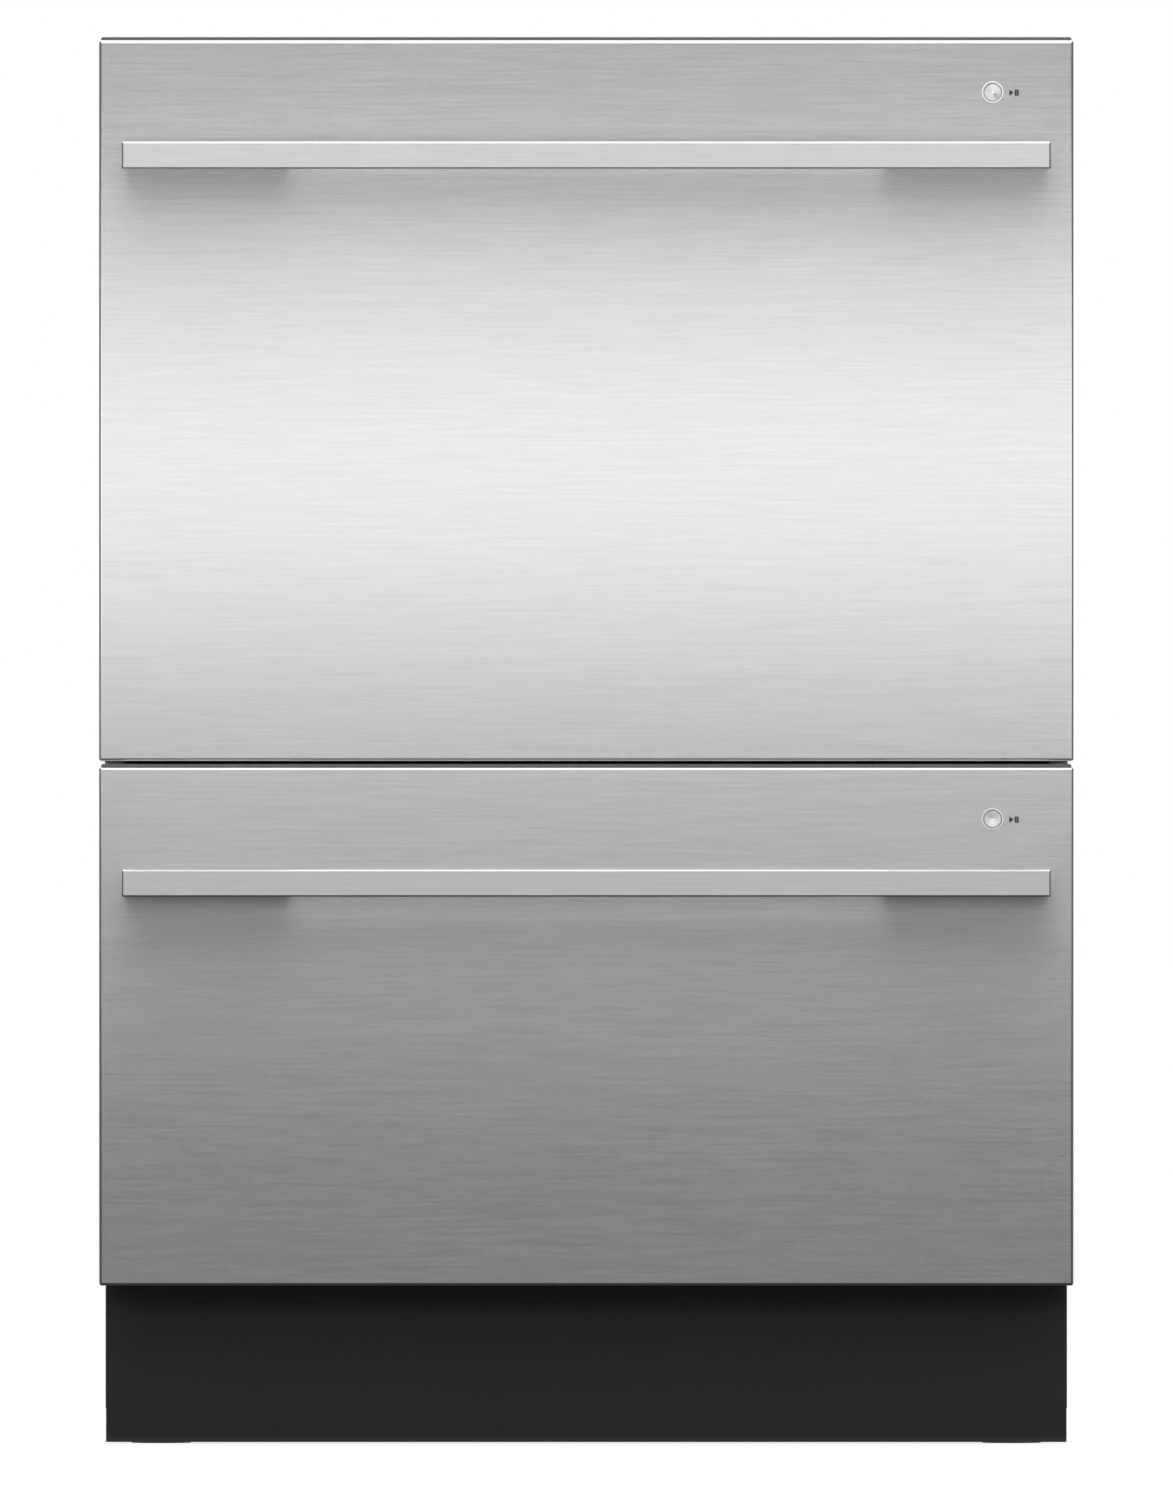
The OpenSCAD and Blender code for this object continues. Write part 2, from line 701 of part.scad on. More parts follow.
// Bar with chamfered front edges on two wide posts.
module handle(d) {
    x = front_w/2 - handle_inset;
    y1 = handle_y + handle_t;
    z1 = front_z1(d) - handle_drop;
    z0 = z1 - handle_h;
    b = handle_bevel;
    color(handle_steel) {
        intersection() {
            along_x(-x, x) polygon([
                [handle_y + b, z0], [y1 - b, z0], [y1, z0 + b], [y1, z1 - b],
                [y1 - b, z1], [handle_y + b, z1], [handle_y, z1 - b], [handle_y, z0 + b]]);
            translate([0, 0, z0 - 1]) linear_extrude(handle_h + 2) polygon([
                [-x + b, handle_y], [x - b, handle_y], [x, handle_y + b], [x, y1],
                [-x, y1], [-x, handle_y + b]]);
        }
        both_sides() box([x - 1.5 - handle_post_w, y1 - eps, (z0 + z1 - handle_post_h)/2],
                         [x - 1.5, front_y, (z0 + z1 + handle_post_h)/2]);
    }
}

module button_ring(d) {
    color(white) translate([button_x, front_y, button_z(d)]) rotate([-90, 0, 0]) difference() {
        union() {
            translate([0, 0, -ring_out]) cylinder(r = button_r + button_ring_w, h = ring_out);
            translate([0, 0, -ring_out]) cylinder(r = ring_body_r, h = ring_out + ring_back);
        }
        translate([0, 0, -ring_out - 1]) cylinder(r = ring_r, h = ring_back + 3);
        translate([0, 0, -ring_out - eps])
            cylinder(r1 = ring_r + 0.3, r2 = ring_r, h = 0.3);
    }
}

// Dished cap with a collar that keeps it behind the ring, and a stem.
module start_button(d) {
    color(handle_steel) translate([button_x, front_y - 0.4, button_z(d)]) rotate([-90, 0, 0]) {
        rotate_extrude() polygon([
            [0, button_dish], [button_r - 0.7, 0], [button_r - 0.3, 0], [button_r, 0.3],
            [button_r, ring_back + 0.5], [button_r + 0.9, ring_back + 0.5],
            [button_r + 0.9, ring_back + 0.5 + collar_t], [2, ring_back + 0.5 + collar_t],
            [2, button_l], [0, button_l]]);
    }
}

// ---------------------------------------------------------------- tubs

// Deep rounded box that narrows towards its floor. grow moves its walls outwards.
module tub_form(d, grow, top) {
    r = tub_corner_r + grow;
    rf = tub_floor_r + grow;
    z = floor_z(d) - grow;
    x1 = tub_x - tub_wall + grow;
    y1 = tub_d/2 - tub_wall + grow;
    hull() for (sx = [-1, 1], sy = [-1, 1]) {
        translate([sx*(x1 - r), tub_mid + sy*(y1 - r), rim_z(d) - 1]) cylinder(r = r, h = top + 1, $fn = 32);
        translate([sx*(x1 - r - tub_draft), tub_mid + sy*(y1 - r - tub_draft), z + rf])
            rotate_extrude($fn = 32) translate([r - rf, 0]) intersection() {
                circle(rf, $fn = 32);
                translate([0, -rf]) square([rf, rf]);
            }
    }
}

module tub_rim(d) {
    rim_y0 = front_back_y;
    rim_y1 = tub_y1 + rim_w;
    translate([0, (rim_y0 + rim_y1)/2, rim_z(d) - rim_t])
        linear_extrude(rim_t) rounded_rect(2*rim_x, rim_y1 - rim_y0, tub_corner_r);
}

module tub(d) {
    boss_x = [-rim_x + 75, rim_x - 75];
    boss_z = [floor_z(d) + 60, rim_z(d) - 40];
    color(tub_grey) difference() {
        union() {
            difference() {
                union() {
                    tub_form(d, tub_wall, 0);
                    tub_rim(d);
                    rod([0, tub_mid, sump_z(d)], sump_depth + tub_wall, sump_r + tub_wall, "z");
                    // ledges that bear on the drawer's runner members
                    both_sides() box([tub_x - tub_draft - 12, runner_y + 14, runner_z(d) - inner_h/2 + 2],
                                     [ledge_x, tub_y1 - 40, runner_z(d) + inner_h/2 - 2]);
                    // upright ribs under the rim
                    both_sides() for (y = [-160, -90, 90, 160])
                        box([tub_x - tub_draft - 8, tub_mid + y - 1.5, runner_z(d) + 30],
                            [rim_x - 1, tub_mid + y + 1.5, rim_z(d) - 1]);
                    // bosses that the front is screwed to
                    for (x = boss_x, z = boss_z)
                        rod([x, front_back_y, z], tub_stand_off + tub_draft + 2, 10, "y");
                }
                tub_form(d, 0, 10);
                rod([0, tub_mid, sump_z(d) + tub_wall], sump_depth + tub_wall + 1, sump_r, "z");
            }
            // flat pad for the dispenser
            box([disp_x - dispenser_w/2 - 4, tub_y0 + 1, disp_z(d) - dispenser_h/2 - 4],
                [disp_x + dispenser_w/2 + 4, pad_y, disp_z(d) + dispenser_h/2 + 4]);
        }
        // opening for the dispenser's body
        box([disp_x - dispenser_w/2 + 8 - disp_gap, tub_y0 - 12, disp_z(d) - dispenser_h/2 + 8 - disp_gap],
            [disp_x + dispenser_w/2 - 8 + disp_gap, pad_y + 1, disp_z(d) + dispenser_h/2 - 8 + disp_gap]);
        // opening for the pump's neck
        rod([0, tub_mid, sump_z(d) - 1], tub_wall + 2, neck_r + disp_gap, "z");
    }
}

// ---------------------------------------------------------------- wash system

neck_r = 40;
neck_top = 12;        // height of the pump's neck above the tub's floor
spray_z = neck_top + 1;
spray_hub_h = 20;
spray_blade_h = 9;
spray_r = min(tub_x, tub_d/2) - tub_wall - tub_draft - spray_gap;

// Stepped motor can, flange, neck and the post that the spray arm turns on.
module wash_pump(d) {
    can_r = 62;
    color(pump_grey) translate([0, tub_mid, 0]) {
        rotate_extrude() polygon([
            [0, pump_z(d)], [can_r - 4, pump_z(d)], [can_r, pump_z(d) + 4],
            [can_r, sump_z(d) - 16], [pump_r - 6, sump_z(d) - 8], [pump_r, sump_z(d) - 6],
            [pump_r, sump_z(d)], [neck_r, sump_z(d)], [neck_r, floor_z(d) + neck_top - 3],
            [neck_r - 3, floor_z(d) + neck_top], [spray_post_r, floor_z(d) + neck_top],
            [spray_post_r, floor_z(d) + spray_z + spray_hub_h + 3],
            [spray_post_r - 2, floor_z(d) + spray_z + spray_hub_h + 5],
            [0, floor_z(d) + spray_z + spray_hub_h + 5]]);
        // cooling ribs under the flange
        for (a = [0:30:330]) rotate(a)
            box([can_r - 2, -1.5, pump_z(d) + 8], [pump_r - 10, 1.5, sump_z(d) - 9]);
        // drain and fill spouts
        difference() {
            rod([34, can_r - 20, pump_z(d) + 15], 70, 9.5, "y");
            rod([34, can_r + 10, pump_z(d) + 15], 41, 7, "y");
        }
        difference() {
            rod([-34, can_r - 20, pump_z(d) + 15], 60, 7.5, "y");
            rod([-34, can_r + 10, pump_z(d) + 15], 31, 5.5, "y");
        }
    }
}

// Round plate over the sump with a collar and rings of slots.
module filter_plate(d) {
    collar_r = neck_r + disp_gap + 3;
    color(steel) translate([0, tub_mid, floor_z(d)]) difference() {
        union() {
            cylinder(r = filter_r, h = 2);
            cylinder(r = collar_r, h = 8);
            rotate_extrude() translate([filter_r - 2, 0]) square([2, 4]);
        }
        translate([0, 0, -1]) cylinder(r = neck_r + disp_gap, h = 12);
        for (i = [0:filter_slots - 1]) rotate(i*360/filter_slots) {
            translate([52, -1.5, -1]) cube([36, 3, 4]);
            translate([98, 0, -1]) cylinder(r = 3, h = 4);
        }
    }
}

// Hub and two tapered blades with nozzles along them.
module spray_arm(d) {
    tip_r = 14;
    nozzle_step = 32;
    nozzle_at = [for (i = [4:-1:0]) spray_r - tip_r - 10 - i*nozzle_step];
    color(pump_grey) translate([0, tub_mid, floor_z(d) + spray_z]) difference() {
        union() {
            cylinder(r = 26, h = spray_hub_h - 3);
            cylinder(r = 20, h = spray_hub_h);
            for (a = [0, 180]) rotate(a) {
                hull() {
                    translate([18, 0, 3]) cylinder(r = 20, h = spray_blade_h, $fn = 32);
                    translate([spray_r - tip_r, 0, 4]) cylinder(r = tip_r, h = spray_blade_h - 3, $fn = 32);
                }
                for (i = [0:len(nozzle_at) - 1])
                    translate([nozzle_at[i], (i % 2 == 0 ? 5 : -5), 6])
                        cylinder(r1 = 5, r2 = 3.4, h = spray_blade_h - 1.5);
            }
        }
        translate([0, 0, -1]) cylinder(r = spray_post_r + run_gap, h = spray_hub_h + 2);
        for (a = [0, 180]) rotate(a) for (i = [0:len(nozzle_at) - 1])
            translate([nozzle_at[i], (i % 2 == 0 ? 5 : -5), 9]) cylinder(r = 1.5, h = 8, $fn = 16);
    }
}

// ---------------------------------------------------------------- racks

// Loop of wire with round corners, at height z.
module wire_loop(z) {
    x = rack_w/2;
    y = rack_d/2;
    c = rack_corner;
    translate([0, tub_mid, z]) {
        for (s = [-1, 1]) {
            rod([-(x - c), s*y, 0], 2*(x - c), wire_r, "x");
            rod([s*x, -(y - c), 0], 2*(y - c), wire_r, "y");
        }
        for (a = [0:90:270]) rotate(a) loop_corner(a);
    }
}

// Quarter of a wire loop's corner, turned into place by the caller.
module loop_corner(a) {
    x = (a % 180 == 0 ? rack_w : rack_d)/2 - rack_corner;
    y = (a % 180 == 0 ? rack_d : rack_w)/2 - rack_corner;
    translate([x, y, 0]) rotate_extrude(angle = 90) translate([rack_corner, 0]) circle(wire_r);
}

// Flat deck of crossed wires, and the clips that the cup shelf turns in.
module rack_base(d) {
    z = rack_z(d);
    color(wire_grey) {
        wire_loop(z);
        for (i = [0:floor_wires - 1])
            rod([-rack_w/2, tub_mid + wire_at(i, floor_wires, rack_d), z], rack_w, inner_wire_r, "x");
        for (i = [0:cross_wires - 1])
            rod([wire_at(i, cross_wires, rack_w), rack_y0 - 1, z + deck_z], rack_d + 2,
                inner_wire_r, "y");
        for (s = [-1, 1]) translate([cup_pivot_x, tub_mid + s*cup_clip_y, cup_z(d)]) difference() {
            union() {
                rod([0, -clip_w/2, 0], clip_w, wire_r + 3, "y");
                box([-11, -clip_w/2, -wire_r - 3], [0, clip_w/2, wire_r + 3]);
            }
            rod([0, -clip_w/2 - 1, 0], clip_w + 2, wire_r + run_gap, "y");
        }
        // legs that stand on the tub's floor
        for (sx = [-1, 1], sy = [-1, 1]) translate([sx*leg_x, tub_mid + sy*leg_y, floor_z(d)])
            rotate_extrude() polygon([
                [0, 0], [6, 0], [6, 5], [4, 8], [4, rack_rise - wire_r - corner_gap],
                [0, rack_rise - wire_r - corner_gap]]);
    }
}

corner_gap = 0.05;    // between a wall and the next corner of the rack

// Straight part of a rack wall of length l, drawn along X with its foot on the deck.
module rack_wall(d, l, n) {
    h = rack_h(d);
    span = l - 2*rack_corner - 2*corner_gap;
    for (z = [h/2, h]) rod([-span/2, 0, z], span, wire_r, "x");
    for (i = [0:n - 1]) rod([wire_at(i, n, l), 2*wire_r - bind, 0], h, wire_r, "z");
}

// Corner post with the bends of the two loops.
module rack_corner_post(d) {
    h = rack_h(d);
    for (z = [h/2, h]) translate([0, 0, z])
        rotate_extrude(angle = 90) translate([rack_corner, 0]) circle(wire_r);
    rotate(45) rod([rack_corner - 2*wire_r + bind, 0, 0], h, wire_r, "z");
}

module tine_row(d, x) {
    for (i = [0:tine_count - 1]) translate([x, tine_y0 + i*tine_step, rack_z(d) + deck_z]) {
        cylinder(r = tine_r, h = tine_h);
        translate([0, 0, tine_h]) sphere(r = tine_r, $fn = 24);
    }
}

// Four walls, four corner posts, the fixed tines, and the clips of the folding ones.
module rack_walls(d) {
    z = rack_z(d);
    x = rack_w/2;
    y = rack_d/2;
    c = rack_corner;
    color(wire_grey) {
        translate([0, tub_mid, z]) {
            for (a = [0, 180]) rotate(a) {
                translate([0, -y, 0]) rack_wall(d, rack_w, cross_wires);
                translate([x, 0, 0]) rotate(90) rack_wall(d, rack_d, floor_wires);
            }
            for (sx = [0, 1], sy = [0, 1]) mirror([sx, 0, 0]) mirror([0, sy, 0])
                translate([x - c, y - c, 0]) rack_corner_post(d);
        }
        for (row = tine_rows) tine_row(d, row);
        for (s = [-1, 1]) translate([fold_row, tub_mid + s*fold_clip_y, z]) difference() {
            union() {
                rod([0, -clip_w/2, pivot_z], clip_w, wire_r + 2.6, "y");
                box([-wire_r - 2.6, -clip_w/2, 0], [wire_r + 2.6, clip_w/2, pivot_z]);
            }
            rod([0, -clip_w/2 - 1, pivot_z], clip_w + 2, wire_r + run_gap, "y");
        }
    }
}

// Row of tines on a pivot wire. They fold down towards +X.
module folding_tines(d) {
    l = 2*fold_clip_y + clip_w + 6;
    color(wire_grey) translate([fold_row, 0, rack_z(d) + pivot_z]) {
        rod([0, tub_mid - l/2, 0], l, wire_r, "y");
        for (i = [0:tine_count - 1]) translate([0, tine_y0 + i*tine_step, 0]) {
            cylinder(r = tine_r, h = tine_h - pivot_z);
            translate([0, 0, tine_h - pivot_z]) sphere(r = tine_r, $fn = 24);
        }
    }
}

// Shelf of wires that turns up about a wire held in the rack's clips.
module cup_shelf(d) {
    x = cup_shelf_reach - wire_r;
    color(wire_grey) translate([cup_pivot_x, tub_mid, cup_z(d)]) {
        rod([0, -cup_shelf_l/2, 0], cup_shelf_l, wire_r, "y");
        rod([x, -cup_shelf_l/2 + 12, 0], cup_shelf_l - 24, wire_r, "y");
        rod([x/2, -cup_shelf_l/2 + 6, -wire_r - inner_wire_r + bind], cup_shelf_l - 12, wire_r, "y");
        for (i = [0:cup_fingers - 1])
            rod([0, (i - (cup_fingers - 1)/2)*cup_step, 0], x, inner_wire_r, "x");
    }
}

// Open basket with pockets, slotted walls and a grip over its middle divider.
module cutlery_basket(d) {
    z = rack_z(d) + deck_top;
    w = basket_w;
    l = basket_l;
    t = basket_wall;
    pockets = 4;
    grip_l = basket_w - 16;
    color(tub_grey) translate([basket_x, basket_y, z]) difference() {
        union() {
            difference() {
                linear_extrude(basket_h) rounded_rect(w, l, 8);
                for (i = [0:pockets - 1])
                    translate([0, -l/2 + t + (i + 0.5)*(l - 2*t)/pockets, t])
                        linear_extrude(basket_h) rounded_rect(w - 2*t, (l - 2*t)/pockets - t, 6);
            }
            box([-grip_l/2, -t, basket_h - 20], [grip_l/2, t, basket_h + basket_grip]);
        }
        // grip hole
        along_y(-t - 1, t + 1) translate([0, basket_h + basket_grip - 13])
            rounded_rect(grip_l - 14, 15, 7.4);
        // slots through the long walls
        for (i = [0:pockets - 1], k = [-1, 0, 1])
            translate([-w, -l/2 + t + (i + 0.5)*(l - 2*t)/pockets + k*13 - 2.5, 14])
                cube([2*w, 5, basket_h - 34]);
        // slots through the floor
        for (i = [0:pockets - 1], k = [-1, 1])
            translate([k*w/4 - 12, -l/2 + t + (i + 0.5)*(l - 2*t)/pockets - 3, -1]) cube([24, 6, t + 2]);
    }
}

// ---------------------------------------------------------------- dispensers

door_y = pad_y + disp_flange + 0.3;

// Body in the tub's opening, with a detergent cup, door tracks and a seat for the cap.
module dispenser(d) {
    w = dispenser_w;
    h = dispenser_h;
    z = disp_z(d);
    track = door_t + 0.6;
    track_x0 = cup_x - cup_w/2 - door_w - 4;
    door_h = dispenser_h - 24;
    color(white) difference() {
        union() {
            along_y(pad_y, pad_y + disp_flange) translate([disp_x, z]) rounded_rect(w, h, 8);
            box([disp_x - w/2 + 8, tub_y0 - 8, z - h/2 + 8], [disp_x + w/2 - 8, pad_y + eps, z + h/2 - 8]);
            // tracks above and below the sliding door
            for (s = [0, 1]) translate([0, 0, z]) mirror([0, 0, s]) {
                box([track_x0, pad_y + 1, door_h/2 + slide_gap],
                    [cup_x + door_w/2 + 2, pad_y + disp_flange + track + 1.2, door_h/2 + 4]);
                box([track_x0, pad_y + disp_flange + track, door_h/2 - 3],
                    [cup_x + door_w/2 + 2, pad_y + disp_flange + track + 1.2, door_h/2 + 4]);
            }
        }
        // detergent cup
        translate([cup_x, pad_y + disp_flange + 1, z]) rotate([90, 0, 0])
            linear_extrude(16) rounded_rect(cup_w, door_h - 8, 9);
        // seat for the rinse-aid cap's spigot
        rod([rinse_x, pad_y - 9, z], 20, rinse_cap_r/2 + run_gap, "y");
    }
}

// Sliding cover of the detergent cup. It slides towards -X.
module detergent_door(d) {
    h = dispenser_h - 24;
    color(pump_grey) difference() {
        union() {
            along_y(door_y, door_y + door_t) translate([cup_x, disp_z(d)]) square([door_w, h], center = true);
            along_y(door_y, door_y + door_t + 2) translate([cup_x + door_w/2 - 8, disp_z(d)])
                rounded_rect(6, h - 22, 2.9);
        }
        for (k = [-1:1]) translate([cup_x - 8 + 8*k, door_y + door_t - 0.8, disp_z(d)]) rotate([-90, 0, 0])
            linear_extrude(2) rounded_rect(3, h - 26, 1.4);
    }
}

// Quarter-turn cap with a grip across it and a spigot in the dispenser.
module rinse_cap(d) {
    color(pump_grey) translate([rinse_x, pad_y + disp_flange + 0.1, disp_z(d)]) rotate([-90, 0, 0]) {
        cylinder(r = rinse_cap_r, h = 3);
        rotate(45) translate([-rinse_cap_r + 3, -2.5, 0]) cube([2*rinse_cap_r - 6, 5, 5.4]);
        translate([0, 0, -8]) cylinder(r = rinse_cap_r/2, h = 9);
    }
}

// ---------------------------------------------------------------- supply

// Closed control box with a cover, screw posts and a gland for the supply lead.
module supply_box() {
    x = [-200, -60];
    y = [back_y - 187, back_y - 40];
    z0 = base_z + sheet_t + 3;
    h = 58;
    gland_z = z0 + 34;
    color(black) difference() {
        union() {
            translate([(x[0] + x[1])/2, (y[0] + y[1])/2, z0]) {
                linear_extrude(h - 12) rounded_rect(x[1] - x[0], y[1] - y[0], 6);
                translate([0, 0, h - 12]) linear_extrude(12)
                    rounded_rect(x[1] - x[0] + 4, y[1] - y[0] + 4, 8);
            }
            rod([-100, y[1] - 1, gland_z], 15, 8, "y");
            translate([-100, y[1], gland_z]) rotate([-90, 0, 0]) cylinder(r = 11, h = 8, $fn = 6);
        }
        rod([-100, y[1] - 6, gland_z], 22, 4.2, "y");
    }
}

// Solenoid valve with a threaded hose spigot that points backwards.
module inlet_valve() {
    x = 150;
    y = back_y - 92;
    z0 = base_z + sheet_t + 3;
    axis_z = z0 + 38;
    color(white) {
        box([x - 20, y, z0], [x + 20, y + 46, axis_z + 4]);
        rod([x, y + 10, axis_z], 36, 18, "y");
        rod([x, y + 45, axis_z], 26, 13.2, "y");
        translate([x, y + 45, axis_z]) rotate([-90, 0, 0]) cylinder(r = 18, h = 7, $fn = 6);
        // solenoid coil
        rod([x - 48, y + 20, axis_z - 6], 40, 14, "x");
        box([x - 52, y + 12, axis_z - 10], [x - 46, y + 28, axis_z + 6]);
    }
}

// ---------------------------------------------------------------- nodes

mirror([1, 0, 0]) side_panel();  // cabinet_left_side
side_panel();  // cabinet_right_side
cabinet_back();
cabinet_top();
middle_shelf();
base_tray();
toe_kick();
runner_rails();
lid_actuators();
supply_box();
inlet_valve();
cabinet_screws();
foot(-1, 0);  // foot_front_left
foot(1, 0);  // foot_front_right
foot(-1, 1);  // foot_back_left
foot(1, 1);  // foot_back_right

front_skin(UPPER);  // upper_front_skin
door_liner(UPPER);  // upper_door_liner
control_strip(UPPER);  // upper_control_strip
handle(UPPER);  // upper_handle
button_ring(UPPER);  // upper_button_ring
start_button(UPPER);  // upper_start_button
tub(UPPER);  // upper_tub
runner_inner(UPPER);  // upper_runner_inner
runner_middle(UPPER);  // upper_runner_middle
wash_pump(UPPER);  // upper_wash_pump
filter_plate(UPPER);  // upper_filter_plate
spray_arm(UPPER);  // upper_spray_arm
rack_base(UPPER);  // upper_rack_base
rack_walls(UPPER);  // upper_rack_walls
cup_shelf(UPPER);  // upper_cup_shelf
folding_tines(UPPER);  // upper_folding_tines
cutlery_basket(UPPER);  // upper_cutlery_basket
dispenser(UPPER);  // upper_dispenser
detergent_door(UPPER);  // upper_detergent_door
rinse_cap(UPPER);  // upper_rinse_cap
lid(UPPER);  // upper_lid
lid_seal(UPPER);  // upper_lid_seal

front_skin(LOWER);  // lower_front_skin
door_liner(LOWER);  // lower_door_liner
control_strip(LOWER);  // lower_control_strip
handle(LOWER);  // lower_handle
button_ring(LOWER);  // lower_button_ring
start_button(LOWER);  // lower_start_button
tub(LOWER);  // lower_tub
runner_inner(LOWER);  // lower_runner_inner
runner_middle(LOWER);  // lower_runner_middle
wash_pump(LOWER);  // lower_wash_pump
filter_plate(LOWER);  // lower_filter_plate
spray_arm(LOWER);  // lower_spray_arm
rack_base(LOWER);  // lower_rack_base
rack_walls(LOWER);  // lower_rack_walls
cup_shelf(LOWER);  // lower_cup_shelf
folding_tines(LOWER);  // lower_folding_tines
cutlery_basket(LOWER);  // lower_cutlery_basket
dispenser(LOWER);  // lower_dispenser
detergent_door(LOWER);  // lower_detergent_door
rinse_cap(LOWER);  // lower_rinse_cap
lid(LOWER);  // lower_lid
lid_seal(LOWER);  // lower_lid_seal
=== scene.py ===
"""Looks of the double dishwasher drawer: finishes for every CAD node, small printed and fitted
pieces, soft studio light and a level camera in front of the drawers. Lengths are in metres."""

import json
import math

import bmesh
import bpy
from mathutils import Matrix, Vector


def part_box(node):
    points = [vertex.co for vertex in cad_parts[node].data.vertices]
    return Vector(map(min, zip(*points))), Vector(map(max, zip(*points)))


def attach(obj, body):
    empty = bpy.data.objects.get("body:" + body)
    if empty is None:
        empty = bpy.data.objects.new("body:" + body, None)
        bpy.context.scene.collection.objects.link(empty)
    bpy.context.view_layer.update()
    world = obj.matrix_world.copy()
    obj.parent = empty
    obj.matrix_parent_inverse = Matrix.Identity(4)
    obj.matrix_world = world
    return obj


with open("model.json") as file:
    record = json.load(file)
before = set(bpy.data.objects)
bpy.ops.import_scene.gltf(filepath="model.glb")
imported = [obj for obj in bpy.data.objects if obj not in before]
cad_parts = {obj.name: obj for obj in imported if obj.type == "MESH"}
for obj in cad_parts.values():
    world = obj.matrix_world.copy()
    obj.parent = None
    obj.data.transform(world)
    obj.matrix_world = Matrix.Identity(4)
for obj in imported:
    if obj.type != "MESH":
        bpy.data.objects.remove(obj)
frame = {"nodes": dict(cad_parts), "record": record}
nodes = frame["nodes"]
slot_of = {part["node"]: part["material_slot"] for part in frame["record"]["subparts"]}
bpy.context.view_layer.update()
scene = bpy.context.scene
scene.view_settings.view_transform = "Standard"

DRAWERS = ("upper", "lower")
MM = 0.001
MIX_COLOUR_A = 6
MIX_COLOUR_B = 7
MIX_COLOUR_RESULT = 2


# ---------------------------------------------------------------- node trees


def math_node(tree, operation, a, b):
    """The result of an operation on two values, each a number or a socket."""
    node = tree.nodes.new("ShaderNodeMath")
    node.operation = operation
    for socket, value in zip(node.inputs, (a, b)):
        if isinstance(value, (int, float)):
            socket.default_value = value
        else:
            tree.links.new(value, socket)
    return node.outputs[0]


